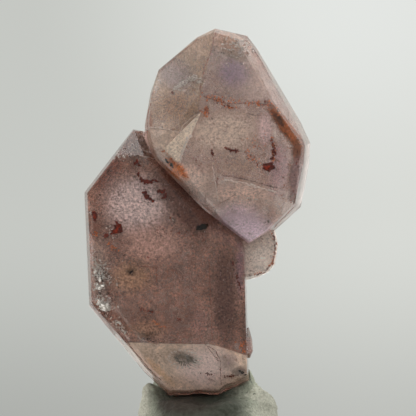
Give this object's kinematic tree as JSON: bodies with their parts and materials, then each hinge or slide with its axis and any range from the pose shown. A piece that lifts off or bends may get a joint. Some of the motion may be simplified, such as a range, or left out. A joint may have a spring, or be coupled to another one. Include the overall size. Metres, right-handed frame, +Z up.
{
  "type": "skeletal amethyst crystal",
  "caption": "Intergrown tabular skeletal amethyst crystals with iron-red inclusions, standing in a lump of mounting putty with a flat foot.",
  "frame": {"origin": "on the putty's flat foot, below the middle of the two large crystals", "axes": "+Z up, -Y towards the viewer that the specimen is displayed to, +X to that viewer's right"},
  "size_m": [0.0284, 0.0177, 0.0521],
  "materials": {
    "amethyst": "glassy crystal faces, hazy brown-mauve inside",
    "putty": "dull, rough, grey-green putty"
  },
  "bodies": {
    "root": {"crystal_cluster": "amethyst", "putty_lump": "putty"}
  },
  "joints": []
}
